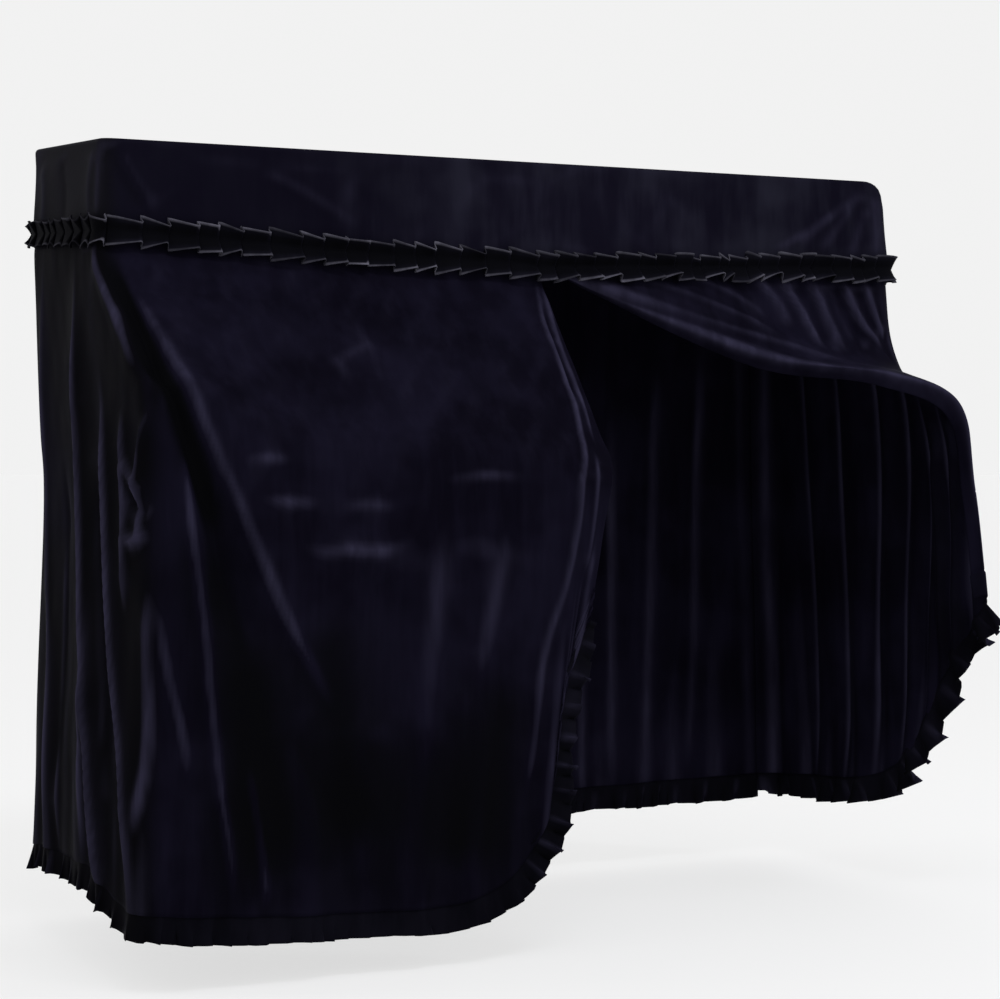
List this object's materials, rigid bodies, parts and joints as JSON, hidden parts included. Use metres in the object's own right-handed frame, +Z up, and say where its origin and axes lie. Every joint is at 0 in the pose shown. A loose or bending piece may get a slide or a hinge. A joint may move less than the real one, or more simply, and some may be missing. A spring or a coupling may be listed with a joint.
{
  "type": "piano cover",
  "caption": "Fitted dark velvet cover for an upright piano: boxed crown, pleated ruffle, and a full skirt opened at the front with its right side swept over the arm.",
  "frame": {"origin": "middle of the crown's underside, where the lid of the piano carries the cover", "axes": "+X along the cover's length towards its right end, +Y towards its back, +Z up"},
  "size_m": [1.6252, 0.7162, 1.3085],
  "materials": {
    "velvet": "near-black violet-blue velvet with a short soft pile",
    "trim": "the same dark velvet cut in strips, paler where the pleats turn"
  },
  "bodies": {
    "root": {"crown_top": "velvet", "crown_band": "velvet", "skirt_left": "velvet", "skirt_right": "velvet", "skirt_back": "velvet", "frill_left": "trim", "frill_right": "trim", "frill_back": "trim", "ruffle": "trim"}
  },
  "joints": []
}
